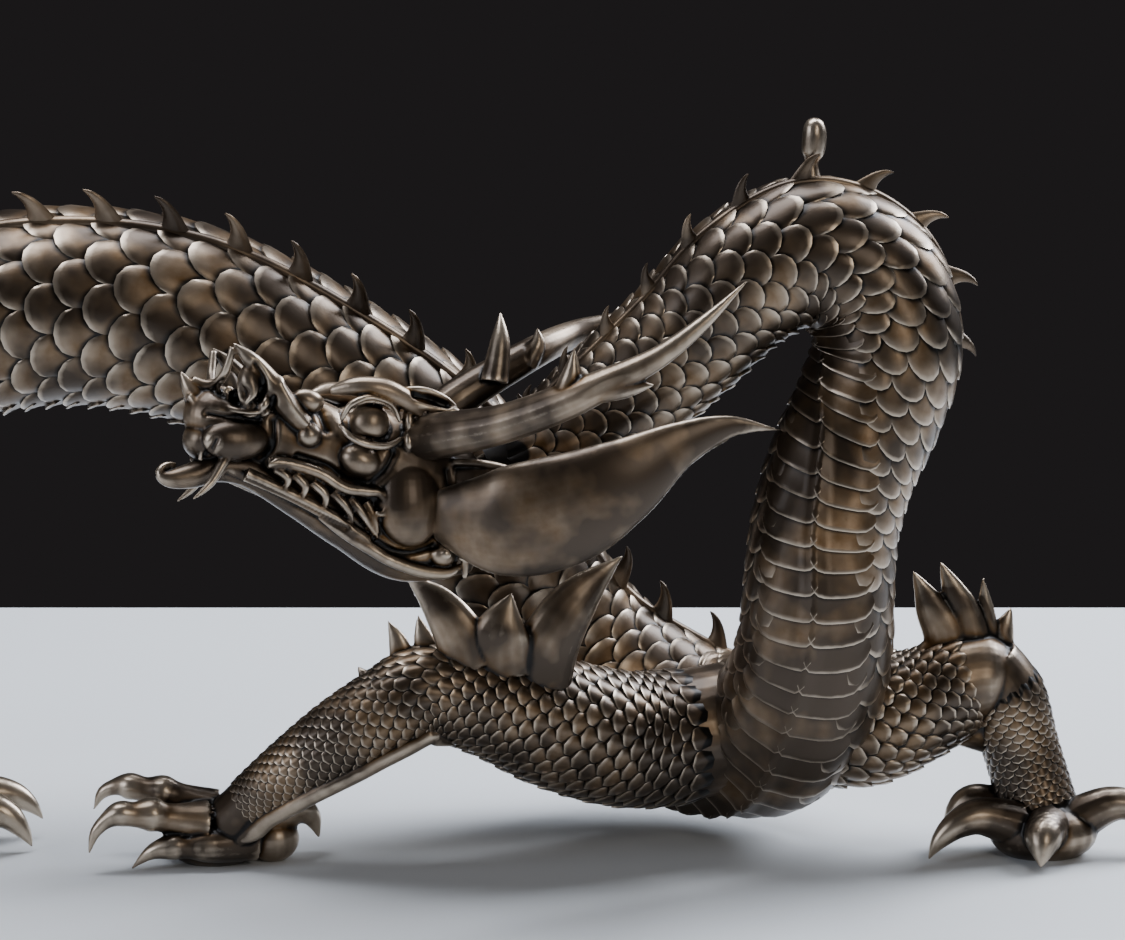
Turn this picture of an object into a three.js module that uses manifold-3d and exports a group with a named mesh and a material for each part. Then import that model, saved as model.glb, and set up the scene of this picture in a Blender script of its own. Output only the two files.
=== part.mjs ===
import * as THREE from 'three';
import { mergeVertices } from 'three/addons/utils/BufferGeometryUtils.js';
import Module from 'manifold-3d';

// A cast bronze dragon that stands on its own four paws, as one solid. Millimetres, +Z up.
// X runs along the dragon, from its tail (-X) to its right fore paw (+X); Y runs from the near side
// (-Y), which carries the head, to the far side. The table is at Z = 0.

// ---- Driving dimensions ----------------------------------------------------------------------

const MIDDLE = { x: -111.1, y: 13.4 }; // plan middle of the finished dragon, which becomes the origin

// The body as stations from nape to tail tip: centre x, y, z, radius, and the way the belly faces.
const BODY = [
  [-24, -32, 150, 17, 0.6, 0.4, -0.8], // nape
  [-2, -30, 160, 20, 0.65, 0.45, -0.75],
  [20, -25, 177, 22.5, 0.7, 0.5, -0.7],
  [43, -20, 197, 23.5, 0.7, 0.45, -0.7],
  [64, -16, 217, 25, 0.5, 0.35, -0.85],
  [88, -12, 227, 26, 0, 0.15, -1], // crest of the neck
  [109, -10, 216, 26, -0.7, -0.15, -0.65],
  [116, -11, 194, 26, -0.9, -0.4, -0.1],
  [110, -12, 172, 26, -0.75, -0.65, 0.1],
  [100, -14, 150, 26, -0.4, -0.9, 0],
  [94, -15, 128, 26, -0.2, -1, 0],
  [92, -14, 105, 26.5, -0.1, -1, 0],
  [91, -8, 82, 27.5, -0.2, -0.95, -0.2],
  [86, 5, 58, 29, -0.3, -0.8, -0.5], // breast
  [76, 22, 42, 29.5, -0.4, -0.5, -0.8],
  [56, 40, 37, 29.5, -0.4, -0.2, -0.9], // lowest point of the fore body
  [32, 50, 46, 30, -0.6, 0, -0.8],
  [8, 54, 62, 31, -0.7, 0.2, -0.7],
  [-13, 52, 86, 32.5, -0.8, 0.3, -0.5],
  [-45, 45, 135, 34, -0.8, 0.4, -0.6],
  [-90, 39, 169, 35, -0.5, 0.4, -0.85],
  [-142, 36, 194, 35.5, -0.2, 0.4, -1],
  [-200, 36, 197, 35.5, 0.1, 0.4, -1], // crest of the back
  [-258, 36, 177, 34.5, 0.5, 0.25, -0.85],
  [-304, 34, 135, 34, 0.85, 0, -0.5],
  [-330, 32, 88, 33, 0.9, 0, -0.4], // hips
  [-350, 32, 52, 30, 0.6, 0, -0.8],
  [-382, 35, 36, 26, 0, 0, -1],
  [-412, 39, 50, 21.5, -0.7, 0, -0.7],
  [-426, 43, 80, 18, -1, 0, -0.1],
  [-424, 48, 110, 14.5, -1, 0, 0.2],
  [-408, 51, 134, 11, -0.6, 0, 0.8],
  [-384, 52, 146, 8, -0.1, 0, 1],
  [-362, 52, 144, 5, 0.3, 0, 1], // tail tip
];
const BODY_SIDES = 16; // vertices round the body: every second one carries a scale
const BODY_STEP = 0.5; // distance between rings, in body radii
const BELLY_HALF_ANGLE = 47; // degrees on each side of the middle of the belly
const SCALE_PROUD = 0.045; // a scale's free edge and a plate's edge, in body radii
const SCALE_DEEP = 0.025; // the groove round a scale
const PLATE_RIDGE = 0.05; // raised line down the middle of the belly

// Spines on the back: millimetres between them, and their size in body radii.
const HOOK = { pitch: 24, tightest: 0.9, height: 0.4, long: 0.22, thin: 0.09 };

// The head has a frame of its own: forward along the snout, side from the middle plane, and up.
const HEAD = { at: [-80.7, -57.4, 149.7], yaw: 15, pitch: 22, roll: 15 };

// ---- Curves and sweeps -------------------------------------------------------------------------

const radians = THREE.MathUtils.degToRad;

/** Values of a list of equally long rows at t from 0 to 1, on a smooth curve through every row. */
function rowAt(rows, t) {
  const last = rows.length - 1;
  const place = Math.min(Math.max(t, 0), 1) * last;
  const i = Math.min(Math.floor(place), last - 1);
  const f = place - i;
  const row = (k) => rows[Math.min(Math.max(k, 0), last)];
  return rows[i].map((_, c) => {
    const [a, b, p, q] = [row(i - 1)[c], row(i)[c], row(i + 1)[c], row(i + 2)[c]];
    return b + 0.5 * f * (p - a + f * (2 * a - 5 * b + 4 * p - q + f * (3 * (b - p) + q - a)));
  });
}

/** Centre, radius and three directions of a swept form at t: along it, its face and its side. */
function frameAt(rows, t, face) {
  const row = rowAt(rows, t);
  const ahead = rowAt(rows, Math.min(t + 0.001, 1));
  const behind = rowAt(rows, Math.max(t - 0.001, 0));
  const along = new THREE.Vector3(ahead[0] - behind[0], ahead[1] - behind[1], ahead[2] - behind[2]);
  along.normalize();
  const front = face ? new THREE.Vector3(...face) : new THREE.Vector3(row[4], row[5], row[6]);
  front.addScaledVector(along, -front.dot(along)).normalize();
  const side = new THREE.Vector3().crossVectors(along, front);
  return { centre: new THREE.Vector3(row[0], row[1], row[2]), radius: row[3], along, front, side };
}

/** A sphere's mesh laid on rings: ringPoint(ring, angle) gives each vertex, 0 and the last are poles. */
function ringed(around, rings, ringPoint) {
  const geometry = new THREE.SphereGeometry(1, around, rings);
  const position = geometry.getAttribute('position');
  for (let ring = 0; ring <= rings; ring += 1) {
    for (let j = 0; j <= around; j += 1) {
      const point = ringPoint(ring, j % around);
      position.setXYZ(ring * (around + 1) + j, point.x, point.y, point.z);
    }
  }
  return geometry;
}

/**
 * A tapering form swept along rows of [x, y, z, radius]. Its first end is cut off, its last end is a
 * point. face is the way its flatter side looks, and flat is its thickness there over its width.
 */
function sweep(rows, { around = 6, steps = 1, face = [0, -1, 0], flat = 1 } = {}) {
  const rings = (rows.length - 1) * steps;
  return ringed(around, rings + 1, (ring, j) => {
    const at = frameAt(rows, Math.max(ring - 1, 0) / rings, face);
    const angle = (2 * Math.PI * (j + 0.5)) / around;
    const reach = ring === 0 || ring > rings ? 0 : at.radius;
    return at.centre
      .addScaledVector(at.front, reach * flat * Math.cos(angle))
      .addScaledVector(at.side, reach * Math.sin(angle));
  });
}

/** An ellipsoid with half sizes [a, b, c], turned by matrix. */
function lump(at, half, matrix = new THREE.Matrix4(), around = 8, rings = 5) {
  const geometry = new THREE.SphereGeometry(1, around, rings);
  geometry.scale(...half);
  geometry.applyMatrix4(new THREE.Matrix4().extractRotation(matrix));
  geometry.translate(...at);
  return geometry;
}

// ---- Body: rings of scales, belly plates and a row of back spines -------------------------------

/** Places along the body, pitch(radius) apart, measured on its middle line or, at back = 1, its back. */
function placesAlong(pitch, back = 0) {
  const pointAt = (at) => at.centre.clone().addScaledVector(at.front, -back * at.radius);
  const small = 0.001;
  const places = [];
  let t = 0;
  while (t < 1 - small) {
    places.push(t);
    const here = frameAt(BODY, t);
    const speed = pointAt(here).distanceTo(pointAt(frameAt(BODY, t + small))) / small;
    t += pitch(here.radius) / speed;
  }
  return places;
}

function body() {
  const places = placesAlong((radius) => BODY_STEP * radius);
  const rings = places.length + 1;
  const geometry = ringed(BODY_SIDES, rings, (ring, j) => {
    const index = Math.min(Math.max(ring - 1, 0), places.length - 1);
    const at = frameAt(BODY, places[index]);
    if (ring === 0 || ring === rings) {
      return at.centre;
    }
    const angle = (2 * Math.PI * j) / BODY_SIDES;
    const fromBelly = THREE.MathUtils.radToDeg(Math.min(angle, 2 * Math.PI - angle));
    const onBelly = fromBelly < BELLY_HALF_ANGLE;
    const proud = onBelly ? ring % 2 === 0 : (ring + j) % 2 === 0;
    const ridge = j === 0 ? PLATE_RIDGE : 0;
    const reach = at.radius * (1 + (proud ? SCALE_PROUD : -SCALE_DEEP) + ridge);
    const tailward = proud && !onBelly ? 0.25 * BODY_STEP * at.radius : 0;
    return at.centre
      .addScaledVector(at.front, reach * Math.cos(angle))
      .addScaledVector(at.side, reach * Math.sin(angle))
      .addScaledVector(at.along, tailward);
  });
  geometry.setIndex(scaleFaces(BODY_SIDES, rings));
  return geometry;
}

/** Faces of a ringed form whose creases run between the raised vertices, so each is a scale's peak. */
function scaleFaces(around, rings) {
  const faces = [];
  const vertex = (ring, j) => ring * (around + 1) + j;
  for (let ring = 0; ring < rings; ring += 1) {
    for (let j = 0; j < around; j += 1) {
      const corners = [vertex(ring, j), vertex(ring + 1, j), vertex(ring + 1, j + 1), vertex(ring, j + 1)];
      const turn = (ring + j) % 2;
      const [a, b, c, d] = corners.map((_, k) => corners[(k + turn) % 4]);
      if (ring === 0) {
        faces.push(corners[0], corners[1], corners[2]);
      } else if (ring === rings - 1) {
        faces.push(corners[0], corners[1], corners[3]);
      } else {
        faces.push(a, b, d, b, c, d);
      }
    }
  }
  return faces;
}

/** One hooked spine on the back, its tip curled towards the tail. */
function hook(at, height) {
  const root = at.centre.clone().addScaledVector(at.front, -at.radius);
  const point = (up, back, radius) => {
    const p = root.clone().addScaledVector(at.front, -up * height).addScaledVector(at.along, back * height);
    return [p.x, p.y, p.z, radius];
  };
  const long = at.radius * HOOK.long;
  const rows = [point(-0.25, -0.1, long), point(1, 0.35, 0)];
  return sweep(rows, { around: 4, face: at.side.toArray(), flat: HOOK.thin / HOOK.long });
}

function backSpines() {
  const pitch = (radius) => Math.min(HOOK.pitch, HOOK.tightest * radius);
  return placesAlong(pitch, 1).slice(2, -6).map((t) => {
    const at = frameAt(BODY, t);
    return hook(at, HOOK.height * at.radius);
  });
}

/** The bud on a short stem at the crest of the neck, and the leaf at the end of the tail. */
function crestBudAndTailLeaf() {
  return [
    sweep([[88, -11, 250, 4.5], [88, -11, 258, 2.6], [88.5, -11, 264, 4.6], [89, -11, 271, 4],
      [89, -11, 275, 0]]),
    sweep([[-372, 52, 146, 5], [-356, 52, 148, 9], [-342, 52, 158, 7], [-334, 52, 172, 0]], { flat: 0.4 }),
    sweep([[-368, 52, 145, 5], [-352, 52, 138, 7], [-338, 52, 138, 0]], { flat: 0.4 }),
  ];
}

// ---- Head ---------------------------------------------------------------------------------------

/** Directions of the head's frame: forward, to its near side, and up. */
function headMatrix() {
  const yaw = radians(HEAD.yaw);
  const pitch = radians(HEAD.pitch);
  const forward = new THREE.Vector3(
    -Math.cos(yaw) * Math.cos(pitch), -Math.sin(yaw) * Math.cos(pitch), Math.sin(pitch));
  const near = new THREE.Vector3(Math.sin(yaw), -Math.cos(yaw), 0);
  near.applyAxisAngle(forward, radians(HEAD.roll)); // the near side is rolled upwards
  const up = new THREE.Vector3().crossVectors(near, forward).negate();
  return new THREE.Matrix4().makeBasis(forward, near, up).setPosition(...HEAD.at);
}

const HEAD_MATRIX = headMatrix();

function onHead([forward, side, up, ...rest]) {
  return [...new THREE.Vector3(forward, side, up).applyMatrix4(HEAD_MATRIX), ...rest];
}

function headSweep(rows, options) {
  return sweep(rows.map(onHead), options);
}

/** An egg on the head; lean turns its top towards the snout, in degrees. */
function headLump(at, half, lean = 0, around = 8, rings = 5) {
  const turned = HEAD_MATRIX.clone().multiply(new THREE.Matrix4().makeRotationY(radians(lean)));
  return lump(onHead(at), half, turned, around, rings);
}

/** What lies on the head's middle plane: skull, snout, nose, and lower jaw with its curled chin. */
function skull() {
  return [
    headLump([-22, 0, 14], [33, 18, 22]),
    headLump([15, 0, 13], [32, 13, 17]),
    headLump([46, 0, 12], [15, 12, 12]),
    headLump([50, 0, 2], [8, 9, 7], 0, 7, 4),
    headSweep([[54, 0, 14, 6], [60, 0, 18, 3.5], [65, 0, 22, 0]], { around: 5 }),
    headSweep([[-54, 0, -3, 9], [-31, 0, -10.5, 12.5], [-9, 0, -9, 10], [10, 0, -6, 8], [30, 0, -3, 6.2],
      [42, 0, -5.5, 5.5], [53, 0, -12.5, 5], [60, 0, -13, 3.5], [59, 0, -8, 0]], { around: 8 }),
  ];
}

/** One side of the face: side is 1 for the near side and -1 for the far one, which is plainer. */
function faceSide(side) {
  const mirror = (rows) => rows.map(([forward, out, ...rest]) => [forward, side * out, ...rest]);
  const piece = (rows, options) => headSweep(mirror(rows), options);
  const egg = ([forward, out, up], half, ...rest) => headLump([forward, side * out, up], half, ...rest);
  const main = [
    piece([[24, 11, 17, 4.5], [35, 13, 25, 4.5], [45, 13, 31, 3.2], [53, 12, 36, 0]]), // nostril wing
    egg([43, 11.5, 22], [5, 5, 9], 0, 6, 4), // wing's bulge over the nostril
    egg([41, 9, 5], [12, 6, 8], -12, 7, 4), // upper lip
    piece([[41, 9, 2, 3], [45, 9.5, -11, 2.2], [50, 9.5, -20.5, 0]], { around: 5 }), // tusk
    egg([-2.3, 13.5, 25.7], [7.5, 6.5, 7.5], 0, 7, 4), // eye
    piece([[15, 12, 31, 3], [6, 15, 35, 4.5], [-3, 16.5, 36.5, 5], [-10, 18, 36, 4.5], [-26, 18.5, 39.5, 0]]),
    egg([-29, 16.5, 31.5], [13, 5, 6.5], 4, 7, 4), // leaf behind the brow
    egg([-24.5, 10.5, 4.5], [12.5, 9.5, 17], 20, 8, 6), // cheek
    piece([[-38, 15, 15, 6], [-48, 20, 19, 7], [-57, 25, 21.5, 5.5], [-65, 30, 24, 0]], { flat: 0.5 }), // ear
  ];
  const fine = [
    piece([[32, 9, -3, 4], [9, 11, -3, 4], [-8, 12, -6, 4.5], [-20, 11, -12, 4], [-26, 9, -13, 0]]), // lips
    egg([-45, 11, 1], [8.5, 6, 8.5], 0, 8, 4), // curl behind the cheek
    piece([[-6, 8, -12, 3.5], [-22, 9, -15.5, 4], [-36, 9.5, -15.5, 4.5], [-50, 10, -12, 0]]), // jaw's corner
    egg([-4, 12, 12.5], [9, 6, 6], 0, 6, 4), // pouch under the eye
  ];
  return side > 0 ? [...main, ...fine] : main;
}

function horns() {
  const beam = { around: 7 };
  return [
    sweep([[-49, -54, 168, 8.5], [-38, -66, 172, 8], [-20, -78, 178, 7], [0, -87, 187, 6.5],
      [14, -90, 194, 5.5], [32, -90, 203, 4], [48, -88, 215, 2.6], [63, -85, 229, 0]], beam),
    sweep([[0, -87, 187, 5], [3, -88, 197, 3.5], [4, -88, 207, 0]], beam),
    sweep([[10, -90, 192, 5], [22, -91, 193, 3.5], [32, -90, 194, 0]], beam),
    sweep([[-52, -32, 165, 8], [-36, -30, 178, 7], [-12, -16, 190, 6], [4, 4, 194, 5],
      [20, 13, 197, 3.5], [36, 18, 204, 0]], beam),
    sweep([[-24, -34, 184, 5], [-22, -30, 198, 3.5], [-22, -26, 208, 0]], beam),
    sweep([[-13, -20, 188, 4.5], [-9, -20, 195, 3], [-9, -20, 201, 0]], beam),
  ];
}

/** The mane sweeps back from each cheek as one flat, pointed lock. */
function mane() {
  const lock = { around: 8, flat: 0.42 };
  return [
    sweep([[-44, -60, 142, 9], [-22, -69, 141, 19], [0, -72, 146, 20], [20, -72, 156, 15.5],
      [40, -68, 168, 8.5], [58, -64, 174, 4], [76, -60, 172, 0]], lock),
    sweep([[-36, -38, 140, 14], [-16, -12, 142, 17], [6, 2, 150, 16], [28, 8, 162, 11],
      [46, 9, 172, 5], [58, 9, 178, 0]], lock),
  ];
}

// ---- Legs and paws -------------------------------------------------------------------------------

const limb = { around: 8 };

/** A toe and its claw: from the palm over the knuckle to the claw's tip. */
function toe(...rows) {
  return sweep(rows);
}

function palm(at, half) {
  return lump(at, half);
}

/** Flames that stand off a leg: each is a flat, pointed tongue. */
function flame(...rows) {
  return sweep(rows, { around: 5, flat: 0.5 });
}

function leftForeLeg() {
  return [
    sweep([[62, 22, 44, 24], [28, 10, 42, 24], [0, -4, 51, 23], [-26, -14, 62, 19], [-48, -20, 68, 16.5],
      [-63, -22, 61, 15.5], [-80, -21, 50, 14.5], [-98, -18, 37, 12], [-112, -12, 25, 10],
      [-122, -7, 15, 9.5], [-138, -4, 12, 0]], limb),
    palm([-127, -4, 9], [19, 13, 11]),
    palm([-106, -1, 8], [10, 9, 9]),
    toe([-128, 0, 18, 8.5], [-146, 0, 25, 6.5], [-158, 1, 27, 5.2], [-167, 2, 25, 3.2], [-171, 2, 18, 0]),
    toe([-130, -10, 16, 8.5], [-149, -16, 21, 6.5], [-160, -19, 22, 5.2], [-168, -21, 16, 3.2],
      [-171, -22, 8, 0]),
    toe([-112, -8, 9, 7.5], [-128, -14, 9, 6.5], [-140, -16, 9, 5], [-149, -17, 7, 3.2], [-156, -17, 1, 0]),
    toe([-108, -2, 12, 7], [-98, 1, 18, 6], [-92, 3, 15, 4], [-89, 3, 7, 0]),
    flame([-32, -24, 78, 11], [-38, -25, 92, 9], [-46, -24, 103, 6], [-57, -22, 112, 0]),
    flame([-10, -18, 70, 13], [-4, -22, 88, 11], [6, -20, 103, 8], [22, -14, 117, 0]),
    flame([-22, -22, 76, 12], [-22, -26, 92, 10], [-18, -26, 106, 0]),
    flame([-57, -20, 76, 5], [-59, -19, 86, 3.5], [-63, -18, 94, 0]),
    flame([-47, -20, 80, 5], [-50, -19, 88, 3.5], [-52, -18, 96, 0]),
    flame([-67, -22, 66, 5], [-70, -20, 72, 3.5], [-74, -18, 77, 0]),
  ];
}

function rightForeLeg() {
  return [
    sweep([[88, 16, 54, 27], [110, 14, 50, 25], [130, 12, 55, 20], [147, 13, 64, 17], [158, 14, 65, 14],
      [168, 15, 62, 0]], limb),
    sweep([[154, 14, 70, 13], [162, 15, 58, 14], [168, 16, 38, 13.5], [173, 15, 22, 13.5], [178, 12, 10, 12],
      [188, 8, 6, 0]], limb),
    palm([176, 6, 8], [20, 15, 11]),
    toe([166, 3, 12, 9], [153, -1, 16, 7], [144, -4, 14, 5.5], [137, -6, 8, 3.2], [133, -7, 1, 0]),
    toe([166, 14, 13, 8], [152, 17, 17, 6.5], [145, 17, 13, 4.5], [140, 16, 5, 0]),
    toe([177, 0, 11, 9], [175, -9, 12, 7.5], [174, -15, 9, 6], [173, -21, 2, 0]),
    toe([186, 8, 11, 9], [199, 7, 18, 7], [208, 6, 18, 5.5], [217, 5, 11, 3.2], [223, 5, 3, 0]),
    sweep([[136, 10, 56, 14], [150, 12, 50, 12], [160, 14, 42, 9], [168, 15, 28, 0]], { flat: 0.5 }),
    flame([132, 10, 62, 11], [140, 11, 78, 9], [134, 11, 92, 6], [127, 10, 106, 0]),
    flame([148, 12, 74, 10], [146, 12, 88, 7], [142, 12, 98, 4.5], [137, 12, 109, 0]),
    flame([154, 13, 76, 6], [154, 14, 90, 3.5], [153, 14, 103, 0]),
    flame([158, 14, 74, 7], [161, 15, 83, 4], [164, 16, 91, 0]),
  ];
}

function nearHindLeg() {
  return [
    sweep([[-322, 22, 100, 29], [-298, 6, 92, 26], [-270, -6, 80, 21], [-252, -10, 70, 16],
      [-240, -12, 62, 0]], limb),
    sweep([[-256, -10, 74, 15], [-248, -7, 58, 14], [-251, 3, 34, 12], [-252, 10, 16, 11.5],
      [-250, 14, 4, 0]], limb),
    palm([-238, 16, 8], [20, 16, 11]),
    toe([-230, 23, 13, 9], [-214, 27, 17, 7], [-204, 29, 16, 5.5], [-197, 30, 12, 3.2], [-192, 30, 6, 0]),
    toe([-230, 12, 12, 9], [-213, 10, 16, 7], [-204, 9, 14, 5.5], [-198, 9, 8, 3.2], [-194, 9, 1, 0]),
    toe([-236, 5, 10, 8], [-226, -4, 13, 6.5], [-219, -9, 10, 4.5], [-214, -13, 2, 0]),
    toe([-248, 18, 11, 8], [-259, 23, 14, 6], [-265, 26, 10, 4], [-268, 27, 2, 0]),
    flame([-262, -8, 82, 8], [-258, -10, 96, 6], [-264, -10, 110, 0]),
    flame([-252, -8, 74, 7], [-246, -10, 86, 5], [-248, -10, 98, 0]),
  ];
}

function farHindLeg() {
  return [
    sweep([[-330, 46, 94, 29], [-322, 70, 88, 26], [-311, 92, 76, 21], [-305, 102, 66, 16],
      [-300, 108, 58, 0]], limb),
    sweep([[-306, 100, 72, 15], [-306, 105, 56, 14], [-314, 106, 36, 12], [-320, 103, 16, 11.5],
      [-321, 101, 4, 0]], limb),
    palm([-304, 103, 8], [20, 16, 11]),
    toe([-296, 110, 12, 9], [-280, 114, 16, 7], [-271, 117, 14, 5.5], [-264, 119, 8, 3.2], [-260, 120, 1, 0]),
    toe([-294, 101, 12, 9], [-278, 101, 16, 7], [-269, 100, 14, 5.5], [-262, 100, 8, 3.2], [-258, 100, 1, 0]),
    toe([-300, 93, 10, 8], [-289, 86, 13, 6.5], [-281, 82, 10, 4.5], [-275, 79, 2, 0]),
    toe([-316, 106, 11, 8], [-328, 110, 14, 6], [-334, 112, 10, 4], [-337, 113, 2, 0]),
    flame([-306, 98, 78, 8], [-300, 100, 92, 6], [-304, 100, 106, 0]),
  ];
}

// ---- One casting ----------------------------------------------------------------------------------

const wasm = await Module();
wasm.setup();

/** Volume enclosed by a closed mesh, negative where its faces look inwards. */
function signedVolume(position, index) {
  const corner = (k) => new THREE.Vector3().fromBufferAttribute(position, index[k]);
  let volume = 0;
  for (let k = 0; k < index.length; k += 3) {
    volume += corner(k).dot(corner(k + 1).cross(corner(k + 2))) / 6;
  }
  return volume;
}

/** A closed geometry as a manifold solid with its faces looking out. */
function solidOf(geometry) {
  geometry.deleteAttribute('normal');
  geometry.deleteAttribute('uv');
  const merged = mergeVertices(geometry, 1e-3);
  const position = merged.getAttribute('position');
  const index = Uint32Array.from(merged.index.array);
  if (signedVolume(position, index) < 0) {
    index.reverse();
  }
  return new wasm.Manifold(new wasm.Mesh({
    numProp: 3,
    vertProperties: Float32Array.from(position.array),
    triVerts: index,
  }));
}

function cast() {
  const forms = [
    body(), ...backSpines(), ...crestBudAndTailLeaf(),
    ...skull(), ...faceSide(1), ...faceSide(-1), ...horns(), ...mane(),
    ...leftForeLeg(), ...rightForeLeg(), ...nearHindLeg(), ...farHindLeg(),
  ];
  const whole = forms.map(solidOf).reduce((joined, form) => joined.add(form));
  const table = new THREE.BoxGeometry(900, 500, 60);
  table.translate(MIDDLE.x, MIDDLE.y, -30);
  return whole.subtract(solidOf(table));
}

function geometryOf(solid) {
  const mesh = solid.getMesh();
  const geometry = new THREE.BufferGeometry();
  geometry.setAttribute('position', new THREE.BufferAttribute(mesh.vertProperties, 3));
  geometry.setIndex(new THREE.BufferAttribute(mesh.triVerts, 1));
  geometry.translate(-MIDDLE.x, -MIDDLE.y, 0);
  return geometry;
}

const bronze = new THREE.MeshStandardMaterial({ color: 0x4a3b2c, roughness: 0.45, metalness: 1 });
const dragon = new THREE.Mesh(geometryOf(cast()), bronze);
dragon.name = 'dragon';

const part = new THREE.Group();
part.add(dragon);

export default part;
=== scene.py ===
# %% [markdown]
# # A cast bronze dragon, built up in Blender
# The dragon is one hollow casting: a founder pours bronze round a wax model, chases the scales with
# punches, and darkens the metal with a chemical patina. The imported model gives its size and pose.
# Here the same paths are followed again with fine relief: overlapping scales, belly plates, hooked
# spines, a sculpted head with horns and mane, and four clawed legs.

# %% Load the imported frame
import math
import bpy
import mathutils
import numpy as np
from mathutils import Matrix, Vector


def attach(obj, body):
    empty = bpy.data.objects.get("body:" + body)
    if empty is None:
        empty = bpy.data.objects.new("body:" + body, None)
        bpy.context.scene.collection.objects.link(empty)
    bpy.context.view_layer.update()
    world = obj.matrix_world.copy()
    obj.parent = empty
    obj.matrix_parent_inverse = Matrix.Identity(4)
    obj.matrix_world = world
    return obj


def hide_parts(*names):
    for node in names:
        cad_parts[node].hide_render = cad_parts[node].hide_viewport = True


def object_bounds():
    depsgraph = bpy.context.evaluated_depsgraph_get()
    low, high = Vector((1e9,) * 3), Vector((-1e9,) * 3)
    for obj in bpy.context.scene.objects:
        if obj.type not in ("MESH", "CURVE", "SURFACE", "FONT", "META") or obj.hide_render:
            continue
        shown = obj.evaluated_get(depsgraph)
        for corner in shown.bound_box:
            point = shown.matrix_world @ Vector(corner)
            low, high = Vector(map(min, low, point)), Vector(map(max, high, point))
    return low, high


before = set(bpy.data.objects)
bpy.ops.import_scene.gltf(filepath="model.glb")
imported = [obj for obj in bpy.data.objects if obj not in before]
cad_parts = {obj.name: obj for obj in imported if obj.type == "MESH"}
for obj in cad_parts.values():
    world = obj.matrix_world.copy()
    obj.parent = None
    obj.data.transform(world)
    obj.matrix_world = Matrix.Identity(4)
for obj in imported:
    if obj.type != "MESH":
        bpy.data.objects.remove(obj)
CAD_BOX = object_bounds()
print("packed box in metres:", CAD_BOX)

# %% [markdown]
# ## Working in millimetres
# Every place below is in millimetres, measured from the breast's side of the dragon with the table at
# Z = 0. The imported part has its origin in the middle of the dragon's plan, so one function moves and
# scales points to it. Patterned noise needs a seed, so one generator with a fixed seed serves all.

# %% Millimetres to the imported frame
MIDDLE = np.array([-111.1, 13.4, 0.0])  # plan middle of the dragon, as in the part's source
MM = 0.001
rng = np.random.default_rng(7)


def to_frame(points):
    """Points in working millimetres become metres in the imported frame."""
    return (np.asarray(points, float) - MIDDLE) * MM


def new_object(name, points, faces, smooth_angle=35):
    """A mesh object from working points; edges sharper than smooth_angle stay crisp."""
    mesh = bpy.data.meshes.new(name)
    mesh.from_pydata(to_frame(points).tolist(), [], faces)
    mesh.update()
    thing = bpy.data.objects.new(name, mesh)
    bpy.context.collection.objects.link(thing)
    pick(thing)
    bpy.ops.object.shade_smooth_by_angle(angle=math.radians(smooth_angle))
    return thing


def pick(thing):
    """Select one object alone and make it active, as operators act on what is selected."""
    bpy.ops.object.select_all(action="DESELECT")
    thing.select_set(True)
    bpy.context.view_layer.objects.active = thing


# %% [markdown]
# ## A form along a path
# A snake-like body is a row of stations: a centre, a radius and the way its belly faces. A smooth curve
# runs through every station. Dense samples of it are kept, so that any point on the skin can be asked
# for by its distance along the body, its angle from the belly and its height over the skin.

# %% The path of a tapering form
def through(rows, t):
    """Values of equally long rows at t from 0 to 1, on a smooth curve through every row."""
    rows = np.asarray(rows, float)
    last = len(rows) - 1
    place = np.clip(t, 0, 1) * last
    i = np.minimum(place.astype(int), last - 1)
    f = (place - i)[:, None]
    a, b, p, q = rows[np.maximum(i - 1, 0)], rows[i], rows[i + 1], rows[np.minimum(i + 2, last)]
    return b + 0.5 * f * (p - a + f * (2 * a - 5 * b + 4 * p - q + f * (3 * (b - p) + q - a)))


def unit(v):
    return v / np.linalg.norm(v, axis=-1, keepdims=True)


class Form:
    """A round form swept along stations of [x, y, z, radius] or with the belly's direction added."""

    def __init__(self, rows, face=(0, -1, 0), flat=1.0, samples=900):
        values = through(rows, np.linspace(0, 1, samples))
        self.centre = values[:, :3]
        self.radius = np.maximum(values[:, 3], 0)
        self.flat = flat
        self.along = unit(np.gradient(self.centre, axis=0))
        front = values[:, 4:7] if values.shape[1] > 4 else np.tile(np.array(face, float), (samples, 1))
        front = front - self.along * np.sum(front * self.along, axis=1, keepdims=True)
        self.front = unit(front)
        self.side = np.cross(self.along, self.front)
        steps = np.linalg.norm(np.diff(self.centre, axis=0), axis=1)
        self.distance = np.concatenate([[0], np.cumsum(steps)])
        self.length = self.distance[-1]

    def at(self, s, values):
        if values.ndim == 1:
            return np.interp(s, self.distance, values)
        return np.stack([np.interp(s, self.distance, column) for column in values.T], axis=-1)

    def skin(self, s, angle, height=0.0):
        """Points on the skin at distance s, angle from the belly in degrees, and height over it."""
        s, angle, height = np.broadcast_arrays(np.asarray(s, float), np.radians(angle), height)
        reach = (self.at(s, self.radius) + height)[..., None]
        front = unit(self.at(s, self.front))
        side = unit(self.at(s, self.side))
        turned = front * np.cos(angle)[..., None] * self.flat + side * np.sin(angle)[..., None]
        return self.at(s, self.centre) + reach * turned


# %% [markdown]
# ## Closed grids
# Lofts, plates and claws are all grids of points whose faces are four-sided. A loft closes round its
# rings and ends in a pole at each end, so that it holds water and every face looks outwards.

# %% Lofts with closed ends
def loft_faces(rings, around):
    """Faces of rings of points with one pole before the first ring and one after the last."""
    faces = [(0, 1 + (j + 1) % around, 1 + j) for j in range(around)]
    for i in range(rings - 1):
        for j in range(around):
            a, b = 1 + i * around + j, 1 + i * around + (j + 1) % around
            faces.append((a, b, b + around, a + around))
    last = 1 + rings * around
    start = last - around
    faces += [(start + j, start + (j + 1) % around, last) for j in range(around)]
    return faces


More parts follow.
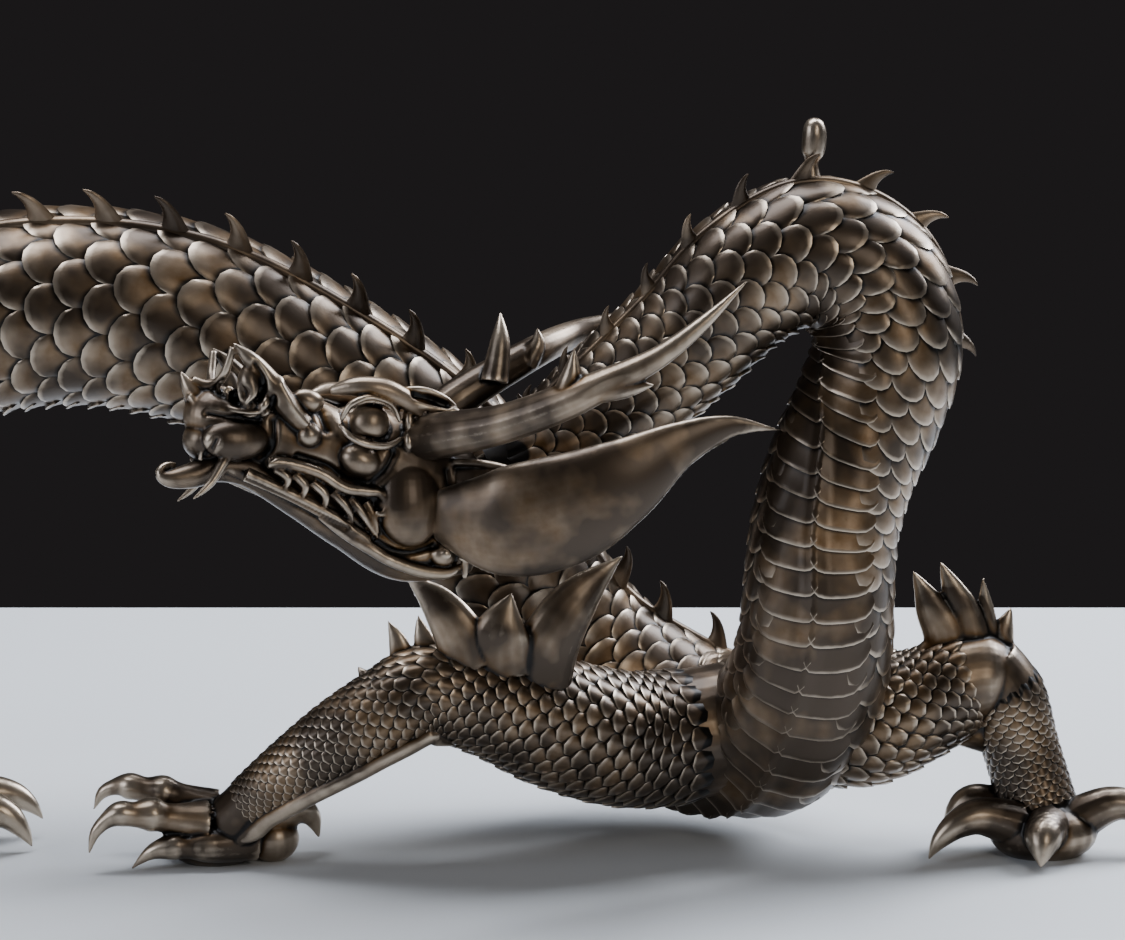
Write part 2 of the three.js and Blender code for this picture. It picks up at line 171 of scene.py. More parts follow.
def loft(form, around=24, rings=60, relief=None):
    """Points and faces of a form; relief(s, angle) adds height to its skin."""
    s = np.linspace(0, form.length, rings)[:, None]
    angle = np.linspace(0, 360, around, endpoint=False)[None, :]
    height = relief(s, angle) if relief else 0.0
    rows = form.skin(s, angle, height).reshape(-1, 3)
    points = np.vstack([form.centre[:1], rows, form.centre[-1:]])
    return points, loft_faces(rings, around)


def gather(parts):
    """Several (points, faces) as one, the faces renumbered."""
    points, faces, start = [], [], 0
    for some_points, some_faces in parts:
        points.append(some_points)
        faces += [tuple(v + start for v in face) for face in some_faces]
        start += len(some_points)
    return np.vstack(points), faces


# %% [markdown]
# ## The body's path
# The neck leaves the head, climbs, loops over and drops as a column to the breast; the body then runs
# back behind the head, arches high over the table and ends in a curled tail. The belly faces inwards
# on the neck's loop, the viewer on the column, and the table under the back's arch.

# %% Stations of the body: centre, radius, belly's direction
BODY = Form([
    [-24, -32, 150, 17, 0.6, 0.4, -0.8],
    [-2, -30, 160, 20, 0.65, 0.45, -0.75],
    [20, -25, 177, 22.5, 0.7, 0.5, -0.7],
    [43, -20, 197, 23.5, 0.7, 0.45, -0.7],
    [64, -16, 217, 25, 0.5, 0.35, -0.85],
    [88, -12, 227, 26, 0, 0.15, -1],
    [109, -10, 216, 26, -0.7, -0.15, -0.65],
    [116, -11, 194, 26, -0.9, -0.4, -0.1],
    [110, -12, 172, 26, -0.75, -0.65, 0.1],
    [100, -14, 150, 26, -0.4, -0.9, 0],
    [94, -15, 128, 26, -0.2, -1, 0],
    [92, -14, 105, 26.5, -0.1, -1, 0],
    [91, -8, 82, 27.5, -0.2, -0.95, -0.2],
    [86, 5, 58, 29, -0.3, -0.8, -0.5],
    [76, 22, 42, 29.5, -0.4, -0.5, -0.8],
    [56, 40, 37, 29.5, -0.4, -0.2, -0.9],
    [32, 50, 46, 30, -0.6, 0, -0.8],
    [8, 54, 62, 31, -0.7, 0.2, -0.7],
    [-13, 52, 86, 32.5, -0.8, 0.3, -0.5],
    [-45, 45, 135, 34, -0.8, 0.4, -0.6],
    [-90, 39, 169, 35, -0.5, 0.4, -0.85],
    [-142, 36, 194, 35.5, -0.2, 0.4, -1],
    [-200, 36, 197, 35.5, 0.1, 0.4, -1],
    [-258, 36, 177, 34.5, 0.5, 0.25, -0.85],
    [-304, 34, 135, 34, 0.85, 0, -0.5],
    [-330, 32, 88, 33, 0.9, 0, -0.4],
    [-350, 32, 52, 30, 0.6, 0, -0.8],
    [-382, 35, 36, 26, 0, 0, -1],
    [-412, 39, 50, 21.5, -0.7, 0, -0.7],
    [-426, 43, 80, 18, -1, 0, -0.1],
    [-424, 48, 110, 14.5, -1, 0, 0.2],
    [-408, 51, 134, 11, -0.6, 0, 0.8],
    [-384, 52, 146, 8, -0.1, 0, 1],
    [-362, 52, 144, 5, 0.3, 0, 1],
], samples=4000)
print("body length in mm:", round(BODY.length))


def marks(form, pitch, start, end, back=0.0):
    """Distances along a form, pitch(radius) apart, measured on its middle line or along its back."""
    line = form.centre - back * form.front * form.radius[:, None]
    steps = np.linalg.norm(np.diff(line, axis=0), axis=1)
    travelled = np.concatenate([[0], np.cumsum(steps / pitch(form.radius[1:]))])
    first, last = np.interp([start, end], form.distance, travelled)
    return np.interp(np.arange(first, last), travelled, form.distance)


# %% [markdown]
# ## One scale, laid hundreds of times
# A scale is a thin closed plate: its root is sunk under its neighbour, its free edge is rounded,
# lifted off the skin and rolled into a fine rim, and a wall drops from the rim to the skin so that a
# dark line shows under every edge. The wall and a strip beside each neighbour's edge are also painted
# dark as shade. It is modelled once on a grid that runs from -1 to 1 across and from 0 to 1 along, and
# each copy is bent to its own place on the body.

# %% The plate's grid and its copies
def plate(across, lengths, edge, height, depth, covered, groove):
    """One closed plate: columns and rows as (a, b, height), its faces, and two values for its colour.

    The first is rubbing: 0.45 over most of the top, rising to 1 on the free edge, and 0 on the wall under
    the edge, which is painted shade. The second is painted shade with patina: 1 on the wall and beside the
    line, b = covered(a), where the neighbours' free edges cross the plate and shade it; it has fallen to 0
    at groove beyond that line.
    """
    a, b = np.meshgrid(across, lengths, indexing="ij")
    top = np.stack([a, b * edge(a), height(a, b)], axis=-1).reshape(-1, 3)
    columns, rows = len(across), len(lengths)
    grid = np.arange(columns * rows).reshape(columns, rows)
    rim = [*grid[0, :], *grid[1:, -1], *grid[-1, -2::-1], *grid[-2:0:-1, 0]]
    under = top[rim] * [1, 1, 0] + [0, 0, -depth]
    faces = [
        (grid[i, j], grid[i + 1, j], grid[i + 1, j + 1], grid[i, j + 1])
        for i in range(columns - 1) for j in range(rows - 1)
    ]
    first = len(top)
    count = len(rim)
    faces += [(rim[k], rim[(k + 1) % count], first + (k + 1) % count, first + k) for k in range(count)]
    faces.append(tuple(first + k for k in range(count)))
    # The wall under the edge gets no rubbing and full shade, painted dark as shade; the strip beside the neighbours'
    # edges is painted with shade that fades out over groove.
    wear_and_painted_shade = np.concatenate([0.45 + 0.55 * np.clip(b.reshape(-1) * 8 - 7, 0, 1), np.zeros(count)])
    shade = np.concatenate([1 - (top[:, 1] - covered(top[:, 0])) / groove, np.full(count, 1.0)])
    return np.vstack([top, under]), faces, wear_and_painted_shade, shade


def lay(form, shape, places):
    """Copies of a plate on a form. Each place is (distance, angle, length, half width in degrees)."""
    points, faces, wear_and_painted_shade, shade = shape
    places = np.asarray(places, float)
    s = places[:, 0, None] + places[:, 2, None] * points[None, :, 1]
    angle = places[:, 1, None] + places[:, 3, None] * points[None, :, 0]
    size = form.at(places[:, 0], form.radius)[:, None]
    laid = form.skin(np.clip(s, 0, form.length), angle, points[None, :, 2] * size)
    if np.mean(places[:, 3] * places[:, 2]) < 0:
        faces = [face[::-1] for face in faces]
    count = len(points)
    all_faces = [tuple(v + k * count for v in face) for k in range(len(places)) for face in faces]
    return laid.reshape(-1, 3), all_faces, np.tile(wear_and_painted_shade, len(places)), np.tile(shade, len(places))


# %% [markdown]
# ## Scales of the body
# Nine scales sit side by side on the back and flanks, and each row is set half a scale along from the
# last, so the round free edges make the fish-scale pattern. The skin under them is a smooth tube, a
# little thinner than the body, that shows only in the dark lines and is painted almost black all over
# as painted shade.

# %% The shape of one scale
BELLY_HALF = 47.0  # degrees on each side of the belly's middle
ROW_PITCH = 0.28  # distance between rows of scales, in body radii
COLUMNS = 9
SKIN_DEPTH = 1.3  # how far the smooth skin lies under the body's radius
OVERLAP = 3.2  # a scale's length in rows
SPREAD = 0.55  # its half width in columns
ROUND = 0.34  # how far its free edge falls back at its sides, in lengths


def round_edge(a):
    """Free edge of a scale: 1 at its middle, falling away to its sides as an arc."""
    return 1 - ROUND * (1 - np.sqrt(np.clip(1 - (0.97 * a) ** 2, 0, 1)))


def scale_covered(a):
    """Where the two neighbours of the row before end on a scale."""
    return round_edge(np.clip((0.5 / SPREAD - np.abs(a)), -1, 1)) - 1 / OVERLAP


def scale_height(a, b):
    """Height over the body's radius, in radii: root and sides sunk, middle domed, rim rolled over."""
    rise = -0.05 + 0.072 * b
    dome = 0.024 * (1 - a ** 2) * np.sin(np.pi * np.clip(b - 0.2, 0, 1))
    rim = 0.010 * np.exp(-(((b - 0.93) / 0.06) ** 2))
    return rise + dome + rim - 0.045 * np.abs(a) ** 5


SCALE = plate(
    across=np.array([-1, -0.92, -0.7, -0.36, 0, 0.36, 0.7, 0.92, 1.0]),
    lengths=np.array([0.3, 0.55, 0.78, 0.93, 1.0]),
    edge=round_edge, height=scale_height, depth=0.07, covered=scale_covered, groove=0.085)


# %% Lay the scales
def scale_places(form, start, end, columns=COLUMNS, gap=BELLY_HALF, pitch=ROW_PITCH):
    """Places of half-offset rows of scales round a form, leaving gap degrees each side of the belly."""
    width = (360 - 2 * gap) / columns
    rows = marks(form, lambda radius: pitch * radius, start, end)
    places = []
    for number, s in enumerate(rows):
        radius = float(form.at(s, form.radius))
        half_row = number % 2
        for column in range(columns + half_row):
            angle = gap + width * (column + 0.5 - 0.5 * half_row) + rng.normal(0, 0.4)
            length = OVERLAP * pitch * radius * rng.uniform(0.985, 1.015)
            places.append((s - 0.55 * length, angle, length, SPREAD * width))
    return places


# The body is made as two pieces that meet at its lowest point. The skin and the ridge run the whole
# length in one, and belong to the first piece.
LOWEST_SAMPLE = 1820
BREAST = BODY.distance[LOWEST_SAMPLE]
HALVES = {"neck": (12, BREAST), "back": (BREAST, BODY.length - 30)}
body_scales = {half: lay(BODY, SCALE, scale_places(BODY, *ends)) for half, ends in HALVES.items()}

# %% [markdown]
# ## Belly plates
# The belly is two columns of broad plates that meet in a raised, scalloped line. Each plate is laid in
# the same way as a scale, but its inner end climbs to the middle line, its middle dips and its free
# edge is nearly straight.

# %% Lay the belly plates
PLATE_PITCH = 0.285
PLATE_OVERLAP = 1.75
PLATE_LAP = 2.5  # degrees by which a plate passes its own half of the belly


def straight_edge(a):
    """Free edge of a belly plate, rounded only at its ends."""
    return 1 - 0.3 * np.abs(a) ** 5 - 0.06 * a


def plate_covered(a):
    return straight_edge(a) - 1 / PLATE_OVERLAP


def plate_height(a, b):
    """a runs from the middle line at -1 to the scales at 1."""
    rise = -0.05 + 0.08 * b
    middle_line = 0.06 * np.exp(-(((a + 0.86) / 0.16) ** 2))
    dip = -0.025 * np.exp(-(((a + 0.42) / 0.28) ** 2))
    shoulder = 0.02 * np.exp(-(((a - 0.55) / 0.3) ** 2))
    rim = 0.018 * np.exp(-(((b - 0.93) / 0.09) ** 2))
    return rise + middle_line + dip + shoulder + rim


PLATE = plate(
    across=np.array([-1, -0.92, -0.8, -0.62, -0.35, 0.0, 0.35, 0.65, 0.86, 1.0]),
    lengths=np.array([0.2, 0.5, 0.75, 0.88, 0.96, 1.0]),
    edge=straight_edge, height=plate_height, depth=0.07, covered=plate_covered, groove=0.12)


def plate_places(start, end):
    rows = marks(BODY, lambda radius: PLATE_PITCH * radius, start, end)
    half = BELLY_HALF / 2
    places = []
    for s in rows:
        length = PLATE_OVERLAP * PLATE_PITCH * float(BODY.at(s, BODY.radius))
        places += [(s - 0.5 * length, side * half, length, side * (half + PLATE_LAP))
                   for side in (-1, 1)]
    return places


belly_plates = {}
for half, ends in HALVES.items():
    both = plate_places(*ends)
    belly_plates[half] = [lay(BODY, PLATE, [place for place in both if place[1] * side > 0])
                          for side in (-1, 1)]

# %% [markdown]
# ## Spines of the back
# The spines are cast as thin hooks like a shark's fin: a broad root, a convex front edge and a tip that
# curls over towards the tail. One hook is a flattened loft along a quarter turn; the copies stand on a
# low ridge that runs the length of the back.

# %% Lay the spines and the ridge
HOOK_PITCH = 24.0
HOOK_RISE = 0.42  # height in body radii


def hook_shape(around=10, rings=12):
    """One hook as (along, up, thick) in units of its height."""
    t = np.linspace(0, 1, rings)
    turn = t ** 1.25 * math.radians(78)
    middle = np.stack([-0.18 + 0.78 * (1 - np.cos(turn)), 1.08 * np.sin(turn) - 0.15], axis=1)
    lead = np.gradient(middle, axis=0)
    lead /= np.linalg.norm(lead, axis=1, keepdims=True)
    across = np.stack([lead[:, 1], -lead[:, 0]], axis=1)
    width = 0.31 * (1 - t) ** 0.8 + 0.30 * (1 - t) ** 4 + 0.018
    thick = 0.12 * (1 - t) ** 0.7 + 0.018
    angle = np.linspace(0, 2 * np.pi, around, endpoint=False)
    rows = [
        np.stack([middle[k, 0] + width[k] * np.cos(angle) * across[k, 0],
                  middle[k, 1] + width[k] * np.cos(angle) * across[k, 1],
                  -thick[k] * np.sin(angle)], axis=1)
        for k in range(rings)
    ]
    ends = [[*middle[0], 0]], [[*middle[-1], 0]]
    return np.vstack([ends[0], *rows, ends[1]]), loft_faces(rings, around)


def stand(form, shape, places, heights, angle=180.0):
    """Copies of a shape on the skin at an angle from the belly, each of its own height."""
    points, faces = shape
    parts = []
    for s, height in zip(places, heights):
        root = form.skin(s, angle)
        up = unit(root - form.at(s, form.centre))
        along = unit(form.at(s, form.along))
        across = np.cross(along, up)
        local = points * height
        parts.append((root + local[:, :1] * along + local[:, 1:2] * up + local[:, 2:] * across, faces))
    return gather(parts)


spine_at = marks(BODY, lambda radius: np.minimum(HOOK_PITCH, 0.9 * radius),
                 24, BODY.length - 22, back=1.0)
spine_height = HOOK_RISE * BODY.at(spine_at, BODY.radius)
spines = {half: stand(BODY, hook_shape(), spine_at[chosen], spine_height[chosen])
          for half, chosen in (("neck", spine_at < BREAST), ("back", spine_at >= BREAST))}
print("spines:", len(spine_at))

ridge_s = np.linspace(6, BODY.length - 8, 400)
ridge_rows = np.hstack([BODY.skin(ridge_s, 180.0), 0.07 * BODY.at(ridge_s, BODY.radius)[:, None],
                        BODY.at(ridge_s, BODY.side)])
ridge = loft(Form(ridge_rows, samples=2400), around=8, rings=400)

# %% Join skin, scales, plates and spines into the body
def skin_relief(s, angle):
    """The smooth skin lies under the body's radius all round."""
    return np.full(np.broadcast(s, angle).shape, -SKIN_DEPTH)


def keep_wear_and_shade(thing, wear_and_painted_shade, shade):
    """Keep how rubbed each point is and how near a groove, for the material's rubbed metal, patina and painted shade.
    """
    for name, values in (("wear_and_painted_shade", wear_and_painted_shade), ("shade", shade)):
        layer = thing.data.attributes.new(name, "FLOAT", "POINT")
        layer.data.foreach_set("value", np.asarray(values, np.float32))


def build_body(name, parts):
    """One object of (points, faces, rubbing, shade) parts; low rubbing and high shade are painted shade."""
    points, faces = gather([(part[0], part[1]) for part in parts])
    thing = new_object(name, points, faces, smooth_angle=50)
    values = [np.concatenate([np.broadcast_to(part[k], len(part[0])) for part in parts]) for k in (2, 3)]
    keep_wear_and_shade(thing, *values)
    return thing


skin = loft(BODY, around=40, rings=300, relief=skin_relief)
# The skin gets no rubbing and full shade, so it is painted the groove colour all over: painted shade.
neck = build_body("dragon_neck", [
    (*skin, 0.0, 1.0), body_scales["neck"], *belly_plates["neck"], (*spines["neck"], 0.6, 0.0),
    (*ridge, 0.55, 0.0)])
back = build_body("dragon_back", [
    body_scales["back"], *belly_plates["back"], (*spines["back"], 0.6, 0.0)])
print("faces of neck and back:", len(neck.data.polygons), len(back.data.polygons))

# %% [markdown]
# ## Sculpted pieces
# The head, legs, horns and mane were modelled in wax by hand. Each starts as tapering forms and round
# lumps pushed into each other; a voxel remesh melts them into one skin, as warm wax would, and light
# smoothing rounds the joints.

# %% Forms, lumps and the remesh
SAMPLES_PER_STATION = 50


def tube(rows, around=16, pitch=1.5, face=(0, -1, 0), flat=1.0):
    """A tapering form through stations of [x, y, z, radius] as points and faces."""
    form = Form(rows, face, flat, samples=SAMPLES_PER_STATION * len(rows))
    return loft(form, around, int(form.length / pitch) + 4)


def lump(at, half, turn=None, around=24, rings=14):
    """An egg with half sizes along its own directions, the columns of turn."""
    up = np.linspace(-90, 90, rings + 2)[1:-1, None]
    round_ = np.linspace(0, 360, around, endpoint=False)[None, :]
    flat = np.cos(np.radians(up))
    rows = np.stack([flat * np.cos(np.radians(round_)), flat * np.sin(np.radians(round_)),
                     np.sin(np.radians(up)) * np.ones_like(round_)], axis=-1).reshape(-1, 3)
    points = np.vstack([[[0, 0, -1]], rows, [[0, 0, 1]]]) * half
    if turn is not None:
        points = points @ np.asarray(turn).T
    return points + at, [face[::-1] for face in loft_faces(rings, around)]


def melt(name, parts, voxel, smoothing=2):
    """Melt closed parts into one skin with a voxel remesh and smooth it."""
    points, faces = gather(parts)
    thing = new_object(name, points, faces)
    thing.data.remesh_voxel_size = voxel * MM
    bpy.ops.object.voxel_remesh()
    smoother = thing.modifiers.new("smooth", "SMOOTH")
    smoother.factor = 0.5
    smoother.iterations = smoothing
    bpy.ops.object.modifier_apply(modifier="smooth")
    bpy.ops.object.shade_smooth()
    return thing


# %% Strokes and patina on a melted piece
class Clay:
    """A melted piece worked with strokes in directions of its own, then given its patina and painted shade."""

    def __init__(self, thing, origin=(0, 0, 0), turn=np.eye(3)):
        self.thing = thing
        self.turn = np.asarray(turn)
        self.origin = np.asarray(origin, float)
        mesh = thing.data
        self.edges = np.empty(len(mesh.edges) * 2, np.int32)
        mesh.edges.foreach_get("vertices", self.edges)
        self.edges = self.edges.reshape(-1, 2)
        self.read()

    def read(self):
        mesh = self.thing.data
        points = np.empty(len(mesh.vertices) * 3)
        normals = np.empty(len(mesh.vertices) * 3)
        mesh.vertices.foreach_get("co", points)
        mesh.vertices.foreach_get("normal", normals)
        working = points.reshape(-1, 3) / MM + MIDDLE
        self.points = (working - self.origin) @ self.turn
        self.normals = normals.reshape(-1, 3) @ self.turn

    def write(self):
        points = to_frame(self.points @ self.turn.T + self.origin)
        self.thing.data.vertices.foreach_set("co", points.ravel())
        self.thing.data.update()
        self.read()

    def stroke(self, path, width, height, side=1, inner=2.0):
        """Push the skin of one side out by height, or in, along a path in the first and last axes.

        Side 1 faces along the second axis: a piece with no axes of its own has its far side there.
        """
        rows = through(path, np.linspace(0, 1, 10 * len(path)))
        flat = self.points[:, [0, 2]]
        away = np.min(np.linalg.norm(flat[:, None, :] - rows[None, :, :2], axis=2), axis=1)
        facing = np.clip(side * self.normals[:, 1] * 2, 0, 1) * (side * self.points[:, 1] > inner)
        self.points += self.normals * (height * facing * np.exp(-(away / width) ** 2))[:, None]

    def patina(self, reach=12, depth=0.5):
        """Rubbing where a point stands out of its smoothed surroundings; painted shade, with patina, where it lies in.
        """
        count = len(self.points)
        a, b = self.edges.T
        degree = np.bincount(self.edges.ravel(), minlength=count)[:, None]
        smooth = self.points.copy()
        for _ in range(reach):
            total = np.stack([
                np.bincount(a, smooth[b, k], count) + np.bincount(b, smooth[a, k], count)
                for k in range(3)
            ], axis=1)
            smooth = total / degree
        out = np.sum((self.points - smooth) * self.normals, axis=1) / depth
        # Sunk points get low rubbing and high shade: painted shade, with the patina of the hollows.
        keep_wear_and_shade(self.thing, np.clip(0.42 + 0.58 * out, 0, 1), np.clip(-0.9 * out - 0.1, 0, 1))


# %% [markdown]
# ## Legs and paws
# The left foreleg bends at its elbow and sets its paw far forward; the right one drops from its elbow
# like a post. The hind legs stand under the rump. Every paw has a palm, three clawed toes in front and
# a short one behind, and flames stand off each elbow.

# %% Small scales for a leg
SMALL_COLUMNS = 17
SMALL_PITCH = 0.2  # distance between rows, in limb radii
SMALL_SCALE = plate(
    across=np.array([-1, -0.7, 0, 0.7, 1.0]), lengths=np.array([0.35, 0.6, 0.88, 1.0]),
    edge=round_edge, height=lambda a, b: 1.3 * scale_height(a, b) + 0.012, depth=0.08,
    covered=scale_covered, groove=0.11)


def scaled(name, clay, forms):
    """A leg's melted skin joined with small scales laid round its limbs, as one piece."""
    clay.patina()
    laid = [
        lay(form, SMALL_SCALE, scale_places(form, start, end, SMALL_COLUMNS, gap=0, pitch=SMALL_PITCH))
        for form, start, end in forms
    ]
    scales = build_body(name + "_scales", laid)
    pick(clay.thing)
    scales.select_set(True)
    bpy.ops.object.join()
    return clay.thing


# %% Left foreleg
LEFT_LIMB = [[62, 22, 44, 24], [28, 10, 42, 24], [0, -4, 51, 23], [-26, -14, 62, 19],
             [-48, -20, 68, 16.5], [-63, -22, 61, 15.5], [-80, -21, 50, 14.5], [-98, -18, 37, 12], [-112, -12, 25, 10],
             [-122, -7, 15, 9.5], [-138, -4, 12, 0]]
left_limb = Form(LEFT_LIMB, samples=600)
strap_s = np.linspace(0.47, 0.93, 12) * left_limb.length
strap = np.hstack([left_limb.skin(strap_s, np.linspace(-62, -38, 12), 0.2), np.full((12, 1), 3.6)])
strap[[0, -1], 3] = 1.0
LEFT_FORE = [
    tube(LEFT_LIMB, around=32),
    tube(strap),
    lump([-127, -4, 9], [19, 13, 11]),
    lump([-106, -1, 8], [10, 9, 9]),
    tube([[-128, 0, 18, 8.5], [-140, 0, 23, 5.5], [-146, 0, 25, 6.4], [-152, 0, 26, 4.6],
          [-158, 1, 27, 5],
          [-163, 2, 26.5, 3.2], [-168, 2, 24, 2.2], [-171, 2, 18, 0.3]]),
    tube([[-130, -10, 16, 8.5], [-143, -14, 19, 5.5], [-149, -16, 21, 6.4], [-155, -18, 21.5, 4.6],
          [-160, -19, 22, 4.8], [-165, -20, 19.5, 3], [-169, -21, 15, 2], [-171, -22, 8, 0.3]]),
    tube([[-112, -8, 9, 7.5], [-128, -14, 9, 6.5], [-136, -15.5, 9, 4.6], [-141, -16, 9, 5],
          [-149, -17, 7, 2.8], [-156, -17, 1, 0.3]]),
    tube([[-108, -2, 12, 7], [-98, 1, 18, 6], [-92, 3, 15, 4], [-89, 3, 7, 0.3]]),
]
LEFT_FLAMES = [
    tube([[-32, -24, 78, 11], [-38, -25, 92, 9], [-46, -24, 103, 6], [-57, -22, 112, 0]], flat=0.5),
    tube([[-10, -18, 70, 13], [-4, -22, 88, 11], [6, -20, 103, 8], [22, -14, 117, 0]], flat=0.5),
    tube([[-22, -22, 76, 12], [-22, -26, 92, 10], [-18, -26, 106, 0]], flat=0.5),
    tube([[-57, -20, 76, 5], [-59, -19, 86, 3.5], [-63, -18, 94, 0]], flat=0.5),
    tube([[-47, -20, 80, 5], [-50, -19, 88, 3.5], [-52, -18, 96, 0]], flat=0.5),
    tube([[-67, -22, 66, 5], [-70, -20, 72, 3.5], [-74, -18, 77, 0]], flat=0.5),
]
left_clay = Clay(melt("dragon_left_foreleg", LEFT_FORE + LEFT_FLAMES, voxel=0.9))
# These strokes work from the far side, so the flames' near faces stay smooth.
left_clay.stroke([[-30, 84], [-40, 98], [-52, 109]], 1.6, -1.6)
left_clay.stroke([[-8, 78], [2, 96], [16, 111]], 1.8, -1.8)
left_clay.stroke([[-21, 84], [-20, 100]], 1.6, -1.4)
left_clay.write()
left_fore = scaled("left_foreleg", left_clay, [(left_limb, 18, 0.86 * left_limb.length)])

# %% Right foreleg
RIGHT_ARM = [[88, 16, 54, 27], [110, 14, 50, 25], [130, 12, 55, 20], [147, 13, 64, 17],
             [158, 14, 65, 14], [168, 15, 62, 0]]
RIGHT_SHANK = [[154, 14, 70, 13], [162, 15, 58, 14], [168, 16, 38, 13.5], [173, 15, 22, 13.5],
               [178, 12, 10, 12], [188, 8, 6, 0]]
right_arm, right_shank = Form(RIGHT_ARM, samples=400), Form(RIGHT_SHANK, samples=400)
RIGHT_FORE = [
    tube(RIGHT_ARM, around=32),
    tube(RIGHT_SHANK, around=32),
    lump([176, 6, 8], [20, 15, 11]),
    tube([[166, 3, 12, 9], [153, -1, 16, 7], [144, -4, 14, 5.5], [137, -6, 8, 3.2], [133, -7, 1, 0]]),
    tube([[166, 14, 13, 8], [152, 17, 17, 6.5], [145, 17, 13, 4.5], [140, 16, 5, 0]]),
    tube([[177, 0, 11, 9], [175, -9, 12, 7.5], [174, -15, 9, 6], [173, -21, 2, 0]]),
    tube([[186, 8, 11, 9], [199, 7, 18, 7], [208, 6, 18, 5.5], [217, 5, 11, 3.2], [223, 5, 3, 0]]),
    tube([[136, 10, 56, 14], [150, 12, 50, 12], [160, 14, 42, 9], [168, 15, 28, 0]], flat=0.5),
    tube([[132, 10, 62, 11], [140, 11, 78, 9], [134, 11, 92, 6], [127, 10, 106, 0]], flat=0.5),
    tube([[148, 12, 74, 10], [146, 12, 88, 7], [142, 12, 98, 4.5], [137, 12, 109, 0]], flat=0.5),
    tube([[154, 13, 76, 6], [154, 14, 90, 3.5], [153, 14, 103, 0]], flat=0.5),
    tube([[158, 14, 74, 7], [161, 15, 83, 4], [164, 16, 91, 0]], flat=0.5),
]
right_clay = Clay(melt("dragon_right_foreleg", RIGHT_FORE, voxel=0.9))
right_fore = scaled("right_foreleg", right_clay, [
    (right_arm, 12, 0.72 * right_arm.length), (right_shank, 12, 0.74 * right_shank.length)])

# %% Hind legs
NEAR_THIGH = [[-322, 22, 100, 29], [-298, 6, 92, 26], [-270, -6, 80, 21], [-252, -10, 70, 16],
              [-240, -12, 62, 0]]
NEAR_SHANK = [[-256, -10, 74, 15], [-248, -7, 58, 14], [-251, 3, 34, 12], [-252, 10, 16, 11.5],
              [-250, 14, 4, 0]]
near_thigh, near_shank = Form(NEAR_THIGH, samples=400), Form(NEAR_SHANK, samples=400)
NEAR_HIND = [
    tube(NEAR_THIGH, around=32),
    tube(NEAR_SHANK, around=32),
    lump([-238, 16, 8], [20, 16, 11]),
    tube([[-230, 23, 13, 9], [-214, 27, 17, 7], [-204, 29, 16, 5.5], [-197, 30, 12, 3.2],
          [-192, 30, 6, 0]]),
    tube([[-230, 12, 12, 9], [-213, 10, 16, 7], [-204, 9, 14, 5.5], [-198, 9, 8, 3.2], [-194, 9, 1, 0]]),
    tube([[-236, 5, 10, 8], [-226, -4, 13, 6.5], [-219, -9, 10, 4.5], [-214, -13, 2, 0]]),
    tube([[-248, 18, 11, 8], [-259, 23, 14, 6], [-265, 26, 10, 4], [-268, 27, 2, 0]]),
    tube([[-262, -8, 82, 8], [-258, -10, 96, 6], [-264, -10, 110, 0]], flat=0.5),
    tube([[-252, -8, 74, 7], [-246, -10, 86, 5], [-248, -10, 98, 0]], flat=0.5),
]
near_clay = Clay(melt("dragon_near_hind_leg", NEAR_HIND, voxel=1.1))
near_hind = scaled("near_hind_leg", near_clay, [
    (near_thigh, 12, 0.8 * near_thigh.length), (near_shank, 12, 0.78 * near_shank.length)])

FAR_THIGH = [[-330, 46, 94, 29], [-322, 70, 88, 26], [-311, 92, 76, 21], [-305, 102, 66, 16],
             [-300, 108, 58, 0]]
FAR_SHANK = [[-306, 100, 72, 15], [-306, 105, 56, 14], [-314, 106, 36, 12], [-320, 103, 16, 11.5],
             [-321, 101, 4, 0]]
far_thigh = Form(FAR_THIGH, face=(-1, 0, 0), samples=400)
far_shank = Form(FAR_SHANK, samples=400)
FAR_HIND = [
    tube(FAR_THIGH, around=32, face=(-1, 0, 0)),
    tube(FAR_SHANK, around=32),
    lump([-304, 103, 8], [20, 16, 11]),
    tube([[-296, 110, 12, 9], [-280, 114, 16, 7], [-271, 117, 14, 5.5], [-264, 119, 8, 3.2],
          [-260, 120, 1, 0]]),
    tube([[-294, 101, 12, 9], [-278, 101, 16, 7], [-269, 100, 14, 5.5], [-262, 100, 8, 3.2],
          [-258, 100, 1, 0]]),
    tube([[-300, 93, 10, 8], [-289, 86, 13, 6.5], [-281, 82, 10, 4.5], [-275, 79, 2, 0]]),
    tube([[-316, 106, 11, 8], [-328, 110, 14, 6], [-334, 112, 10, 4], [-337, 113, 2, 0]]),
    tube([[-306, 98, 78, 8], [-300, 100, 92, 6], [-304, 100, 106, 0]], flat=0.5),
]
far_clay = Clay(melt("dragon_far_hind_leg", FAR_HIND, voxel=1.1))
far_hind = scaled("far_hind_leg", far_clay, [
    (far_thigh, 12, 0.8 * far_thigh.length), (far_shank, 12, 0.78 * far_shank.length)])

# %% Crest bud and tail leaf
BUD_AND_LEAF = [
    tube([[88, -11, 250, 4.5], [88, -11, 258, 2.4], [88.5, -11, 262, 4], [89, -11, 267, 4.4],
          [89, -11, 271, 3.9], [89, -11, 273.6, 2.6], [89, -11, 274.6, 0.4]], pitch=0.7),
    tube([[-372, 52, 146, 5], [-356, 52, 148, 9], [-342, 52, 158, 7], [-334, 52, 172, 0]], flat=0.4),
    tube([[-368, 52, 145, 5], [-352, 52, 138, 7], [-338, 52, 138, 0]], flat=0.4),
]
bud_leaf = melt("dragon_bud_leaf", BUD_AND_LEAF, voxel=0.8, smoothing=1)

# %% [markdown]
# ## The head's own frame
# The head is turned 15 degrees towards the viewer, lifted 22 degrees and rolled a little, so it is built
# in a frame of its own: forward along the snout, side from the middle plane to its near side, and up.

